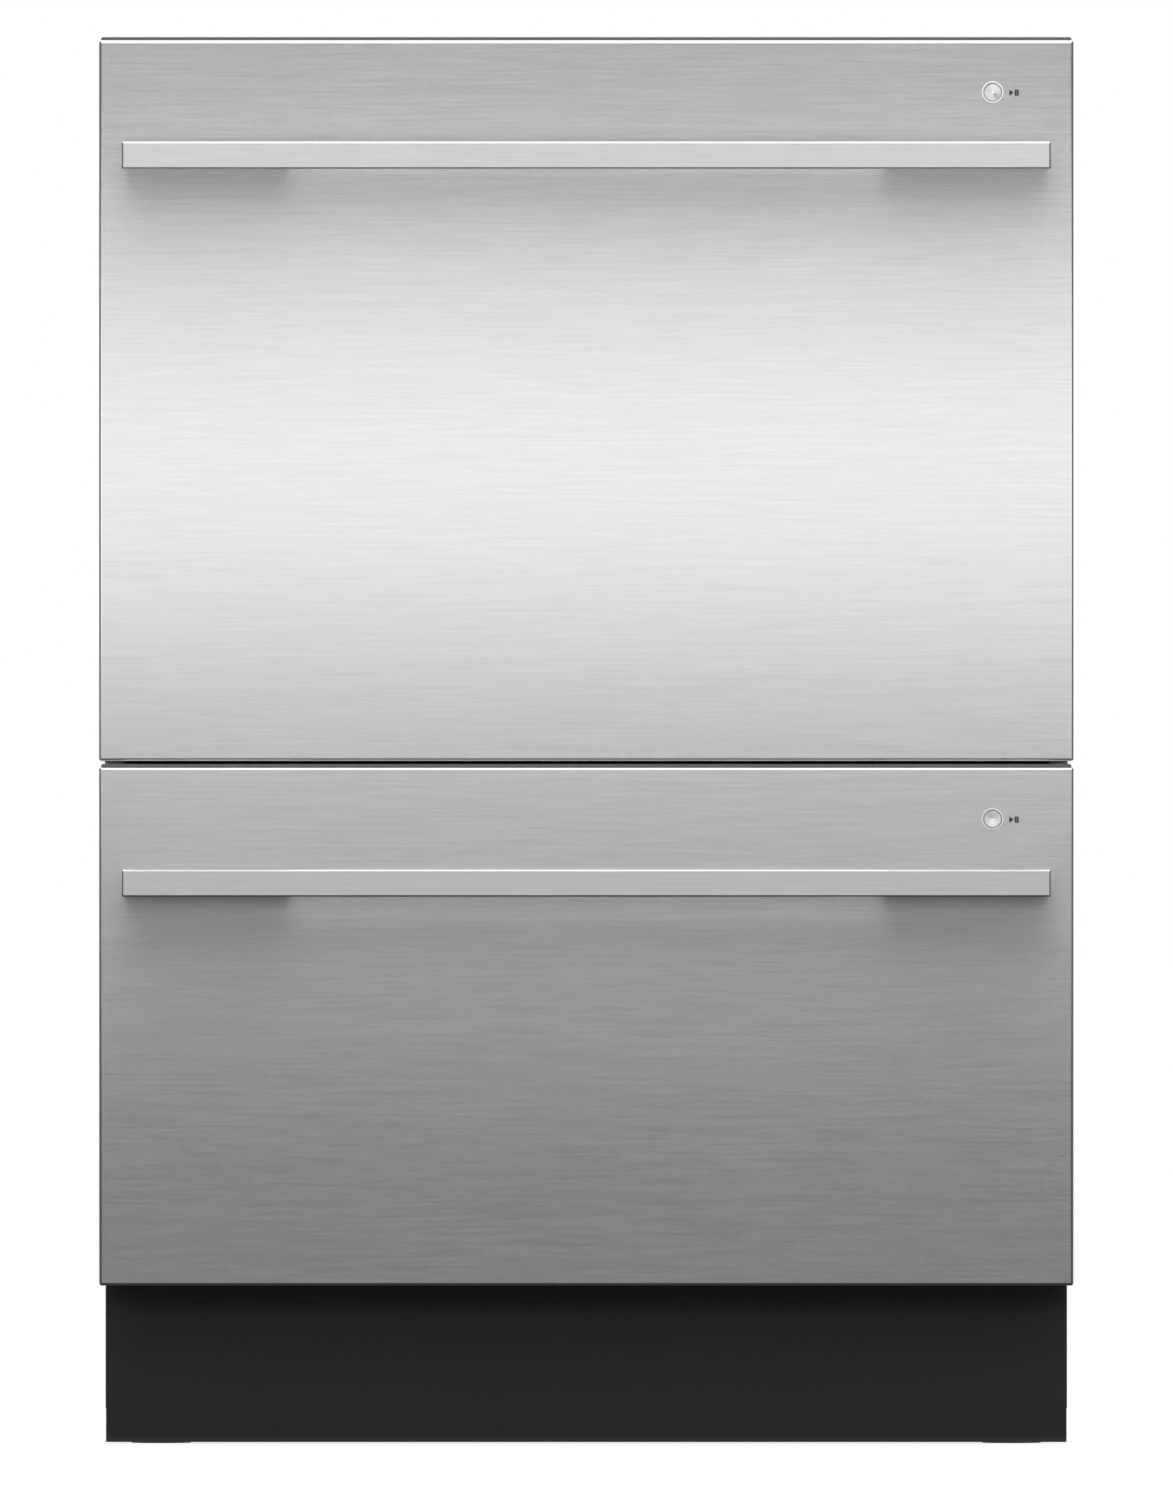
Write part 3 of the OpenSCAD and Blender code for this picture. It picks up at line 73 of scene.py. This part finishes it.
class Finish:
    """A material with one Principled shader and short calls for the nodes that vary it."""

    def __init__(self, name, colour, roughness, **constants):
        self.material = bpy.data.materials.new(name)
        self.material.use_nodes = True
        self.tree = self.material.node_tree
        self.tree.nodes.clear()
        self.colour = colour
        self.roughness = roughness
        output = self.add("ShaderNodeOutputMaterial")
        self.shader = self.add("ShaderNodeBsdfPrincipled")
        self.tree.links.new(self.shader.outputs[0], output.inputs[0])
        self.shader.inputs["Base Color"].default_value = (*colour, 1)
        self.shader.inputs["Roughness"].default_value = roughness
        for socket, value in constants.items():
            self.shader.inputs[socket.replace("_", " ")].default_value = value
        self.material.diffuse_color = (*colour, 1)
        coordinates = self.add("ShaderNodeTexCoord")
        self.place = coordinates.outputs["Object"]
        self.facing = coordinates.outputs["Normal"]

    def add(self, kind, **properties):
        node = self.tree.nodes.new(kind)
        for name, value in properties.items():
            setattr(node, name, value)
        return node

    def link(self, socket, node, name):
        self.tree.links.new(socket, node.inputs[name])

    def noise(self, per_metre, detail=2.0, rough=0.5):
        """Noise of so many waves per metre along each axis."""
        mapping = self.add("ShaderNodeMapping")
        mapping.inputs["Scale"].default_value = per_metre
        self.link(self.place, mapping, "Vector")
        texture = self.add("ShaderNodeTexNoise")
        texture.inputs["Scale"].default_value = 1.0
        texture.inputs["Detail"].default_value = detail
        texture.inputs["Roughness"].default_value = rough
        self.link(mapping.outputs[0], texture, "Vector")
        return texture.outputs["Fac"]

    def cells(self, per_metre):
        """A colour of its own for each patch, so many patches to the metre."""
        texture = self.add("ShaderNodeTexVoronoi")
        texture.inputs["Scale"].default_value = per_metre
        self.link(self.place, texture, "Vector")
        return texture.outputs["Color"]

    def fit(self, value, low, high, start=0.3, end=0.7):
        """Maps a texture's value from start..end to low..high."""
        ramp = self.add("ShaderNodeMapRange")
        self.link(value, ramp, "Value")
        ramp.inputs["From Min"].default_value = start
        ramp.inputs["From Max"].default_value = end
        ramp.inputs["To Min"].default_value = low
        ramp.inputs["To Max"].default_value = high
        return ramp.outputs[0]

    def math(self, operation, a, b):
        return math_node(self.tree, operation, a, b)

    def flatness(self):
        """1 on faces that look along an axis, 0 on chamfers and rounded edges."""
        size = self.add("ShaderNodeVectorMath", operation="ABSOLUTE")
        self.link(self.facing, size, 0)
        along = self.add("ShaderNodeSeparateXYZ")
        self.link(size.outputs[0], along, "Vector")
        most = self.math("MAXIMUM", along.outputs["X"], along.outputs["Y"])
        most = self.math("MAXIMUM", most, along.outputs["Z"])
        return self.fit(most, 0.0, 1.0, 0.97, 0.995)

    def tint(self, value, dark, light):
        """Base colour that goes from dark to light with value. Both are factors on the finish's
        own colour."""
        mix = self.add("ShaderNodeMix", data_type="RGBA")
        self.link(value, mix, "Factor")
        for index, factor in ((MIX_COLOUR_A, dark), (MIX_COLOUR_B, light)):
            mix.inputs[index].default_value = (*[min(c * factor, 1) for c in self.colour], 1)
        self.link(mix.outputs[MIX_COLOUR_RESULT], self.shader, "Base Color")
        return self

    def gloss(self, value, spread):
        """Roughness that varies by spread to each side of the finish's own."""
        rough = self.fit(value, self.roughness - spread, self.roughness + spread, 0.0, 1.0)
        self.link(rough, self.shader, "Roughness")
        return self

    def bump(self, value, height, round_edges=0.0):
        """Relief of so many metres, over edges rounded in shading only."""
        bump = self.add("ShaderNodeBump")
        bump.inputs["Strength"].default_value = 1.0
        bump.inputs["Distance"].default_value = height
        self.link(value, bump, "Height")
        if round_edges:
            edge = self.add("ShaderNodeBevel", samples=4)
            edge.inputs["Radius"].default_value = round_edges
            self.link(edge.outputs[0], bump, "Normal")
        self.link(bump.outputs[0], self.shader, "Normal")
        return self

    def brushed_round(self, axis, turn):
        """Brushing that runs round an axis, turned by a share of a full turn."""
        tangent = self.add("ShaderNodeTangent", direction_type="RADIAL", axis=axis)
        self.link(tangent.outputs[0], self.shader, "Tangent")
        self.shader.inputs["Anisotropic Rotation"].default_value = turn
        return self


# ---------------------------------------------------------------- finishes


def brushed_steel(name, colour, fine, coarse, share, dull_from=None, edges=None):
    """Stainless steel brushed along X. A share of each spot is fine, smooth metal between the
    scratches and the rest is coarse; long faint streaks shift the balance and the tone. Metal
    behind a given plane in y gets painted shade: a darker colour that stands for the shade
    behind the handle bar and the shadow below it. Its roughness stays the same. Chamfers and
    rounded edges are smoothed to the roughness that edges gives."""
    contrast = 0.045
    # Colour factor of the painted shade on metal behind the plane.
    painted_shade_tone = 0.4
    streak_shift = 0.18
    light = 1 + contrast
    f = Finish(name, colour, (fine + coarse) / 2, Metallic=1.0, Anisotropic=0.7)
    lines = f.noise((25, 700, 900), detail=3.0, rough=0.55)
    bands = f.noise((3, 60, 130), detail=2.0)
    both = f.math("ADD", f.math("MULTIPLY", lines, 0.88), f.math("MULTIPLY", bands, 0.12))
    streaks = f.fit(both, 0.0, 1.0, 0.32, 0.68)
    if dull_from is None:
        f.tint(streaks, 1 - contrast, light)
    else:
        # Painted shade: metal behind the plane is darkened, for the shade behind the handle bar and the
        # shadow below it.
        place = f.add("ShaderNodeSeparateXYZ")
        f.link(f.place, place, "Vector")
        blur = 0.1 * MM
        unshaded = f.fit(place.outputs["Y"], 1.0, 0.0, dull_from - blur, dull_from + blur)
        least = (1 - contrast - painted_shade_tone) / (light - painted_shade_tone)
        tone = f.fit(streaks, least, 1.0, 0.0, 1.0)
        f.tint(f.math("MULTIPLY", tone, unshaded), painted_shade_tone, light)
    speck = f.add("ShaderNodeTexWhiteNoise")
    f.link(f.place, speck, "Vector")
    grain = f.math("ADD", speck.outputs["Value"], f.math("MULTIPLY", both, streak_shift))
    middle = share + streak_shift / 2
    rough = f.fit(grain, fine, coarse, middle - 0.01, middle + 0.01)
    if edges is not None:
        rough = f.math("MAXIMUM", f.math("MULTIPLY", rough, f.flatness()), edges)
    f.link(rough, f.shader, "Roughness")
    f.bump(lines, 0.0000015, 0.0003)
    return f.brushed_round("Z", 0.25)


def spun_metal(name, colour, roughness, share):
    """Metal cut in two crossing spirals about Y, so that highlights run out from the middle along
    both diagonals. A share of the spots belongs to the first spiral."""
    f = Finish(name, colour, roughness, Metallic=1.0, Anisotropic=0.9)
    grain = f.noise((2500, 2500, 2500), detail=2.0)
    f.tint(grain, 0.94, 1.06)
    f.gloss(grain, 0.04)
    f.bump(grain, 0.000001, 0.0001)
    f.brushed_round("Y", 0.25)
    speck = f.add("ShaderNodeTexWhiteNoise")
    f.link(f.place, speck, "Vector")
    first_turn = 0.375
    second_turn = 0.125
    turn = f.fit(speck.outputs["Value"], first_turn, second_turn, share - 0.01, share + 0.01)
    f.link(turn, f.shader, "Anisotropic Rotation")
    return f


def chrome(name, colour, roughness):
    """Bright plating with slight wear."""
    f = Finish(name, colour, roughness, Metallic=1.0)
    wear = f.noise((400, 400, 400), detail=4.0)
    f.tint(wear, 0.96, 1.0)
    f.gloss(wear, 0.03)
    return f.bump(wear, 0.000004, 0.0002)


def zinc_sheet(name, colour, roughness, spangle):
    """Zinc-coated steel, dulled by its oxide, with crystal patches so many to the metre."""
    f = Finish(name, colour, roughness, Metallic=0.6)
    crystals = f.add("ShaderNodeSeparateColor")
    f.link(f.cells(spangle), crystals, "Color")
    cloud = f.noise((9, 9, 9), detail=4.0)
    grain = f.math("ADD", f.math("MULTIPLY", crystals.outputs[0], 0.55), f.math("MULTIPLY", cloud, 0.45))
    f.tint(grain, 0.86, 1.08)
    f.gloss(grain, 0.07)
    return f.bump(grain, 0.00001, 0.0003)


def moulded(name, colour, roughness, grain_size=0.0006, depth=0.00002, edge=0.0005, **constants):
    """Moulded plastic with a fine spark-eroded grain, slow colour drift and faint handling marks."""
    f = Finish(name, colour, roughness, **constants)
    grain = f.noise((1 / grain_size,) * 3, detail=2.0)
    drift = f.noise((6, 6, 6), detail=3.0)
    marks = f.noise((18, 60, 25), detail=5.0, rough=0.65)
    f.tint(f.fit(drift, 0.0, 1.0), 0.965, 1.025)
    f.gloss(f.fit(marks, 0.0, 1.0, 0.35, 0.7), 0.05)
    return f.bump(grain, depth, edge)


def coated_wire(name, colour, roughness):
    """Nylon-coated wire: soft gloss and a slightly uneven coat."""
    f = Finish(name, colour, roughness, Coat_Weight=0.25, Coat_Roughness=0.25)
    waves = f.noise((220, 220, 220), detail=3.0)
    f.tint(f.noise((14, 14, 14), detail=2.0), 0.93, 1.05)
    f.gloss(waves, 0.06)
    return f.bump(waves, 0.00004)


def powder_paint(name, colour, roughness):
    """Matt paint with an orange-peel surface."""
    f = Finish(name, colour, roughness)
    peel = f.noise((650, 650, 650), detail=1.0)
    f.tint(f.noise((5, 5, 5), detail=3.0), 0.9, 1.1)
    f.gloss(peel, 0.05)
    return f.bump(peel, 0.00003, 0.0005)


def rubber(name, colour, roughness):
    """Matt rubber with a pale bloom."""
    f = Finish(name, colour, roughness, Sheen_Weight=0.15, Sheen_Roughness=0.5)
    bloom = f.noise((70, 70, 70), detail=5.0, rough=0.6)
    f.tint(bloom, 0.85, 1.2)
    f.gloss(bloom, 0.06)
    return f.bump(f.noise((3000, 3000, 3000)), 0.00001, 0.0004)


def make_finishes(post_shade_plane):
    """One finish for each of the record's material slots, by slot. The colours are the record's,
    save for three slots that the photograph shows lighter. Handles get painted shade, a darker
    colour, behind the plane that is passed in."""
    colours = {m["slot"]: m["base_color"] for m in frame["record"]["materials"]}
    colours["bright_chrome"] = (0.98, 0.98, 0.98)
    colours["button_metal"] = (0.95, 0.95, 0.95)
    colours["strip_plastic"] = (0.19, 0.19, 0.193)
    smooth = 0.00001
    recipes = {
        "front_steel": (brushed_steel, dict(fine=0.13, coarse=0.55, share=0.5, edges=0.12)),
        "handle_steel": (brushed_steel, dict(fine=0.3, coarse=0.7, share=0.4, edges=0.1,
                                             dull_from=post_shade_plane)),
        "galvanised_sheet": (zinc_sheet, dict(roughness=0.55, spangle=90)),
        "zinc_runner": (zinc_sheet, dict(roughness=0.3, spangle=700)),
        "bright_chrome": (chrome, dict(roughness=0.65)),
        "button_metal": (spun_metal, dict(roughness=0.22, share=0.75)),
        "filter_steel": (brushed_steel, dict(fine=0.25, coarse=0.45, share=0.5)),
        "strip_plastic": (moulded, dict(roughness=0.2, depth=0.000002, Coat_Weight=0.4)),
        "black_plastic": (moulded, dict(roughness=0.5)),
        "kick_paint": (powder_paint, dict(roughness=0.5)),
        "liner_plastic": (moulded, dict(roughness=0.5)),
        "tub_plastic": (moulded, dict(roughness=0.34, depth=smooth)),
        "lid_plastic": (moulded, dict(roughness=0.36, depth=smooth)),
        "pump_plastic": (moulded, dict(roughness=0.45)),
        "spray_plastic": (moulded, dict(roughness=0.38, depth=smooth)),
        "rack_wire": (coated_wire, dict(roughness=0.35)),
        "basket_plastic": (moulded, dict(roughness=0.4, depth=smooth)),
        "white_plastic": (moulded, dict(roughness=0.35, depth=smooth)),
        "dark_trim": (moulded, dict(roughness=0.35, depth=smooth)),
        "seal_rubber": (rubber, dict(roughness=0.6)),
    }
    return {slot: make(slot, colours[slot], **values) for slot, (make, values) in recipes.items()}


bar_thickness = 10.2 * MM
# Handle posts behind the bar get painted shade: a darker colour for the shade behind the bar.
finish = make_finishes(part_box("upper_handle")[0].y + bar_thickness)
for name, node in nodes.items():
    node.data.materials.clear()
    node.data.materials.append(finish[slot_of[name]].material)


# ---------------------------------------------------------------- pieces


def piece(name, mesh, body, slot):
    """Adds a mesh as a visible piece of a CAD body, in a slot's finish."""
    obj = bpy.data.objects.new(name, bpy.data.meshes.new(name))
    mesh.normal_update()
    mesh.to_mesh(obj.data)
    mesh.free()
    obj.data.materials.append(finish[slot].material)
    scene.collection.objects.link(obj)
    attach(obj, body)


def plate(mesh, outline, back, front):
    """Closed plate on an XZ outline, from y = back to y = front, which lies towards the viewer."""
    ends = [[mesh.verts.new((x, y, z)) for x, z in outline] for y in (back, front)]
    mesh.faces.new(ends[0])
    mesh.faces.new(reversed(ends[1]))
    for i in range(len(outline)):
        j = (i + 1) % len(outline)
        mesh.faces.new((ends[0][j], ends[0][i], ends[1][i], ends[1][j]))


def button_gap_shade(drawer):
    """A thin flat dark ring on the bezel round a start button: painted shade for the gap between them.
    """
    inner = 5.36 * MM
    outer = 5.76 * MM
    height = 0.03 * MM
    steps = 96
    lo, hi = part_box(drawer + "_button_ring")
    x = (lo.x + hi.x) / 2
    z = (lo.z + hi.z) / 2
    mesh = bmesh.new()
    rows = []
    for radius, y in ((inner, lo.y), (inner, lo.y - height), (outer, lo.y - height), (outer, lo.y)):
        row = []
        for i in range(steps):
            angle = 2 * math.pi * i / steps
            row.append(mesh.verts.new((x + radius * math.cos(angle), y, z + radius * math.sin(angle))))
        rows.append(row)
    for a, b in zip(rows, rows[1:] + rows[:1]):
        for i in range(steps):
            j = (i + 1) % steps
            mesh.faces.new((a[i], a[j], b[j], b[i]))
    bmesh.ops.recalc_face_normals(mesh, faces=mesh.faces)
    # Painted shade: the dark ring stands for the shadow in the gap round the button.
    piece(drawer + "_button_groove", mesh, drawer + "_drawer", "dark_trim")


def start_marks(drawer):
    """The printed play-and-pause sign to the right of a start button."""
    from_axis = 10.2 * MM
    below_axis = 0.4 * MM
    half = 2.0 * MM
    arrow_length = 2.7 * MM
    bar_width = 1.1 * MM
    bars_at = (3.35 * MM, 4.7 * MM)
    sunk = 0.02 * MM
    raised = 0.03 * MM
    lo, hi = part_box(drawer + "_start_button")
    face_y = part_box(drawer + "_front_skin")[0].y
    x = (lo.x + hi.x) / 2 + from_axis
    z = (lo.z + hi.z) / 2 - below_axis
    shapes = [[(x, z - half), (x + arrow_length, z), (x, z + half)]]
    for at in bars_at:
        left = x + at
        right = left + bar_width
        shapes.append([(left, z - half), (right, z - half), (right, z + half), (left, z + half)])
    mesh = bmesh.new()
    for outline in shapes:
        plate(mesh, outline, face_y + sunk, face_y - raised)
    piece(drawer + "_start_marks", mesh, drawer + "_drawer", "black_plastic")


for drawer in DRAWERS:
    button_gap_shade(drawer)
    start_marks(drawer)


# ---------------------------------------------------------------- studio


def flat_stage(name, corners, material):
    """A flat four-cornered sheet that belongs to the studio and not to the part."""
    mesh = bpy.data.meshes.new(name)
    mesh.from_pydata(corners, [], [(0, 1, 2, 3)])
    mesh.materials.append(material)
    obj = bpy.data.objects.new(name, mesh)
    scene.collection.objects.link(obj)
    return obj


def bare_material(name):
    """A new material, its empty tree and the surface socket of its output."""
    material = bpy.data.materials.new(name)
    material.use_nodes = True
    tree = material.node_tree
    tree.nodes.clear()
    return material, tree, tree.nodes.new("ShaderNodeOutputMaterial").inputs["Surface"]


def seen_directly(tree):
    """1 for camera, glossy and transmission rays, which see the white background."""
    rays = tree.nodes.new("ShaderNodeLightPath").outputs
    seen = rays["Is Camera Ray"]
    for kind in ("Is Glossy Ray", "Is Transmission Ray"):
        seen = math_node(tree, "MAXIMUM", seen, rays[kind])
    return seen


def make_world(ambient):
    """White where it is seen, and plain soft grey light on everything else."""
    world = bpy.data.worlds.new("studio")
    scene.world = world
    world.use_nodes = True
    tree = world.node_tree
    background = tree.nodes["Background"]
    background.inputs["Color"].default_value = (1, 1, 1, 1)
    strength = tree.nodes.new("ShaderNodeMapRange")
    strength.inputs["To Min"].default_value = ambient
    strength.inputs["To Max"].default_value = 1.0
    tree.links.new(seen_directly(tree), strength.inputs["Value"])
    tree.links.new(strength.outputs[0], background.inputs["Strength"])


def make_floor(size, albedo, glow):
    """Pale floor: a matt sheet with a glow where it is seen, so that only the shadow shows."""
    material, tree, surface = bare_material("floor")
    diffuse = tree.nodes.new("ShaderNodeBsdfDiffuse")
    diffuse.inputs["Color"].default_value = (albedo, albedo, albedo, 1)
    emission = tree.nodes.new("ShaderNodeEmission")
    amount = math_node(tree, "MULTIPLY", seen_directly(tree), glow)
    tree.links.new(amount, emission.inputs["Strength"])
    both = tree.nodes.new("ShaderNodeAddShader")
    tree.links.new(diffuse.outputs[0], both.inputs[0])
    tree.links.new(emission.outputs[0], both.inputs[1])
    tree.links.new(both.outputs[0], surface)
    flat_stage("floor", lying(-size, -size, size, size, 0), material)


def lying(x0, y0, x1, y1, z):
    """Corners of a level sheet."""
    return [(x0, y0, z), (x1, y0, z), (x1, y1, z), (x0, y1, z)]


def standing(x0, y0, x1, y1, top):
    """Corners of an upright sheet that stands on the floor from one point to another."""
    return [(x0, y0, 0), (x1, y1, 0), (x1, y1, top), (x0, y0, top)]


def reflector(name, corners, levels):
    """Card that only glossy surfaces see. Levels are (height, radiance) pairs, from the floor
    up. The ramp holds no value above 1, so it carries a share of the brightest radiance allowed."""
    brightest = 2.0
    material, tree, surface = bare_material(name)
    emission = tree.nodes.new("ShaderNodeEmission")
    emission.inputs["Strength"].default_value = brightest
    tree.links.new(emission.outputs[0], surface)
    top = levels[-1][0]
    place = tree.nodes.new("ShaderNodeSeparateXYZ")
    tree.links.new(tree.nodes.new("ShaderNodeTexCoord").outputs["Object"], place.inputs[0])
    height = math_node(tree, "DIVIDE", place.outputs["Z"], top)
    ramp = tree.nodes.new("ShaderNodeValToRGB")
    ramp.color_ramp.interpolation = "EASE"
    stops = ramp.color_ramp.elements
    while len(stops) < len(levels):
        stops.new(0.5)
    for stop, (z, level) in zip(stops, levels):
        stop.position = z / top
        stop.color = (*[level / brightest] * 3, 1)
    tree.links.new(height, ramp.inputs[0])
    tree.links.new(ramp.outputs[0], emission.inputs["Color"])
    card = flat_stage(name, corners, material)
    card.visible_camera = False
    card.visible_diffuse = False
    card.visible_transmission = False
    card.visible_shadow = False


def make_cards(front_y):
    """Cards in front of the part, at its sides and on the floor, which its metal reflects."""
    card_x = 2.2
    card_y = front_y - 1.5
    card_top = 1.1
    side_x = 1.6
    side_y = front_y + 0.9
    side_level = 0.15
    floor_z = 0.004
    near_y = front_y - 0.25
    under_y = front_y + 0.1
    front_levels = [(0.0, 0.0), (0.12, 0.0), (0.22, 0.08), (0.3, 0.38), (0.42, 0.52), (0.53, 1.5),
                    (0.61, 2.05), (0.7, 1.55), (0.75, 1.05), (0.8, 0.32), (0.88, 0.02), (1.0, 0.4),
                    (card_top, 1.0)]
    reflector("front_card", standing(-card_x, card_y, card_x, card_y, card_top), front_levels)
    for name, y0, y1, level in (("floor_card_far", card_y, near_y, 0.22),
                                ("floor_card_near", near_y, under_y, 0.05)):
        reflector(name, lying(-card_x, y0, card_x, y1, floor_z), [(0, level), (1, level)])
    for name, side in (("side_card_left", -1), ("side_card_right", 1)):
        corners = standing(side * card_x, card_y, side * side_x, side_y, card_top)
        reflector(name, corners, [(0, side_level), (card_top, side_level)])


def soft_box(name, place, aim, width, height, radiance):
    """Rectangular lamp that faces a point and shines with the given radiance."""
    lamp = bpy.data.lights.new(name, "AREA")
    lamp.shape = "RECTANGLE"
    lamp.size = width
    lamp.size_y = height
    lamp.energy = radiance * math.pi * width * height
    obj = bpy.data.objects.new(name, lamp)
    scene.collection.objects.link(obj)
    obj.location = place
    obj.rotation_mode = "QUATERNION"
    obj.rotation_quaternion = (Vector(aim) - Vector(place)).to_track_quat("-Z", "Y")
    obj.visible_camera = False


front_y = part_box("upper_front_skin")[0].y
make_world(ambient=0.42)
make_floor(size=60, albedo=0.5, glow=0.8)
make_cards(front_y)
soft_box("top_light", place=(0, -1.65, 1.9), aim=(0, -0.2, 0.45), width=2.6, height=1.2, radiance=1.3)
soft_box("roof_light", place=(0, -0.2, 2.6), aim=(0, -0.2, 0.4), width=2.4, height=1.4, radiance=0.9)


# ---------------------------------------------------------------- camera


def make_camera():
    """Level camera, far in front, that frames the drawers as a 1173 x 1500 picture does."""
    picture_w, picture_h = 1173, 1500
    front_left_px, front_right_px = 98.9, 1073.7
    base_px = 1444.9
    distance = 28.0
    lo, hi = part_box("upper_front_skin")
    metres_per_px = (hi.x - lo.x) / (front_right_px - front_left_px)
    camera = bpy.data.cameras.new("camera")
    camera.sensor_fit = "AUTO"
    camera.lens = camera.sensor_width * distance / (picture_h * metres_per_px)
    camera.clip_end = 200
    obj = bpy.data.objects.new("camera", camera)
    scene.collection.objects.link(obj)
    x = (picture_w / 2 - (front_left_px + front_right_px) / 2) * metres_per_px
    z = (base_px - picture_h / 2) * metres_per_px
    obj.location = (x, front_y - distance, z)
    obj.rotation_euler = (math.radians(90), 0, 0)
    scene.camera = obj


make_camera()
